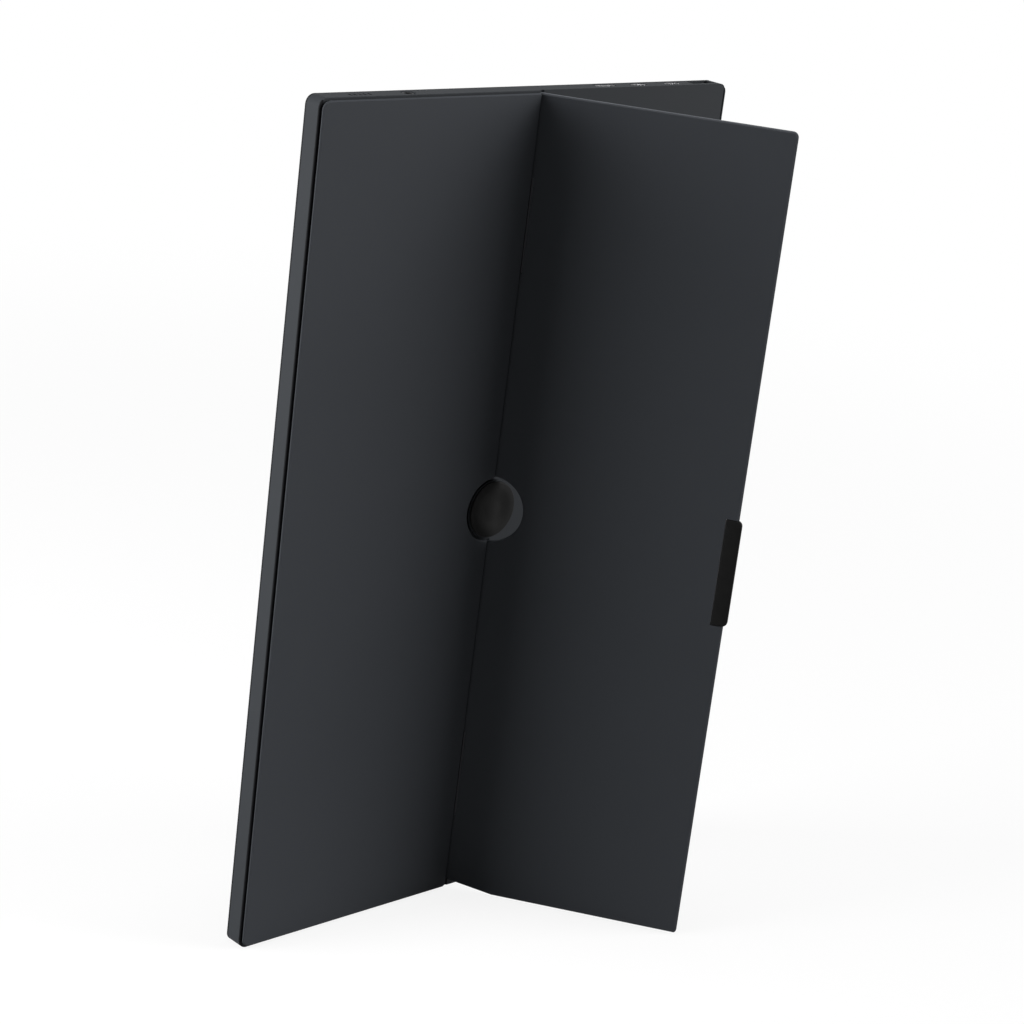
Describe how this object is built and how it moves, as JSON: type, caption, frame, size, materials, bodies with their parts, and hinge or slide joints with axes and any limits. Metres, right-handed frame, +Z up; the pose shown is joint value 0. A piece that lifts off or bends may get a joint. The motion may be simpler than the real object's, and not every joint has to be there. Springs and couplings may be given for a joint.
{
  "type": "portable monitor",
  "caption": "Slim upright screen with a full-height stand flap hinged down the middle of its back, a capped tripod socket on the crease and sockets along its top edge.",
  "frame": {"origin": "on the standing surface, under the middle of the space that the monitor takes with its flap open at 55 degrees", "axes": "+Z up along the long side, +X to the right as seen from behind, +Y from the back towards the screen"},
  "size_m": [0.226, 0.097, 0.358],
  "materials": {
    "shell": "fine satin texture, blue-grey",
    "bezel": "satin, near black",
    "liner": "satin, blue-grey",
    "foam": "matt closed-cell foam",
    "screen": "dark, smooth polariser film",
    "guide": "clear acrylic",
    "sheet_steel": "zinc-plated sheet",
    "screw_steel": "turned, plated",
    "hinge_steel": "pressed, dark plated",
    "insert_brass": "turned, threaded inside",
    "socket_metal": "drawn, bright nickel",
    "board": "solder mask over laminate",
    "film": "polyimide film",
    "black_plastic": "moulded, matt",
    "key_plastic": "moulded, satin",
    "rubber": "soft, matt"
  },
  "bodies": {
    "screen": {"rear_housing": "shell", "back_panel": "shell", "front_bezel": "bezel", "bezel_tape": "foam", "lcd_glass": "screen", "light_guide": "guide", "screen_tray": "sheet_steel", "mid_frame": "sheet_steel", "frame_screws": "screw_steel", "board_screws": "screw_steel", "bracket_screws": "screw_steel", "insert_screws": "screw_steel", "main_board": "board", "audio_board": "board", "driver_board": "board", "shield_can": "sheet_steel", "screen_cable": "film", "usb_c_socket_inner": "socket_metal", "usb_c_socket_outer": "socket_metal", "video_socket": "socket_metal", "earphone_socket": "black_plastic", "speaker_top": "black_plastic", "speaker_bottom": "black_plastic", "hinge_bracket_top": "hinge_steel", "hinge_bracket_bottom": "hinge_steel", "tripod_insert": "insert_brass", "key_switch": "black_plastic"},
    "flap": {"stand_flap": "shell", "flap_liner": "liner", "hinge_leaf_top": "hinge_steel", "hinge_leaf_bottom": "hinge_steel", "hinge_pin_top": "hinge_steel", "hinge_pin_bottom": "hinge_steel", "leaf_screws": "screw_steel", "flap_foot": "rubber"},
    "cap": {"hub_cap": "rubber"},
    "plunger": {"key_plunger": "screw_steel"},
    "key": {"control_key": "key_plastic"}
  },
  "joints": [
    {"name": "flap_hinge", "type": "hinge", "parent": "screen", "child": "flap", "pos_m": [0.0026, 0.03909, 0], "axis": [0, 0, -1], "range_deg": [-55, 40]},
    {"name": "cap_pull", "type": "slide", "parent": "screen", "child": "cap", "axis": [-0.7071, -0.7071, 0], "range_m": [0, 0.045]},
    {"name": "key_press", "type": "slide", "parent": "screen", "child": "plunger", "axis": [0, 0, -1], "range_m": [0, 0.0003], "stiffness_N_per_m": 5000},
    {"name": "key_rock", "type": "hinge", "parent": "plunger", "child": "key", "pos_m": [0.1005, 0.04419, 0.3535], "axis": [0, 1, 0], "range_deg": [-4, 4], "stiffness_Nm_per_rad": 0.05}
  ]
}
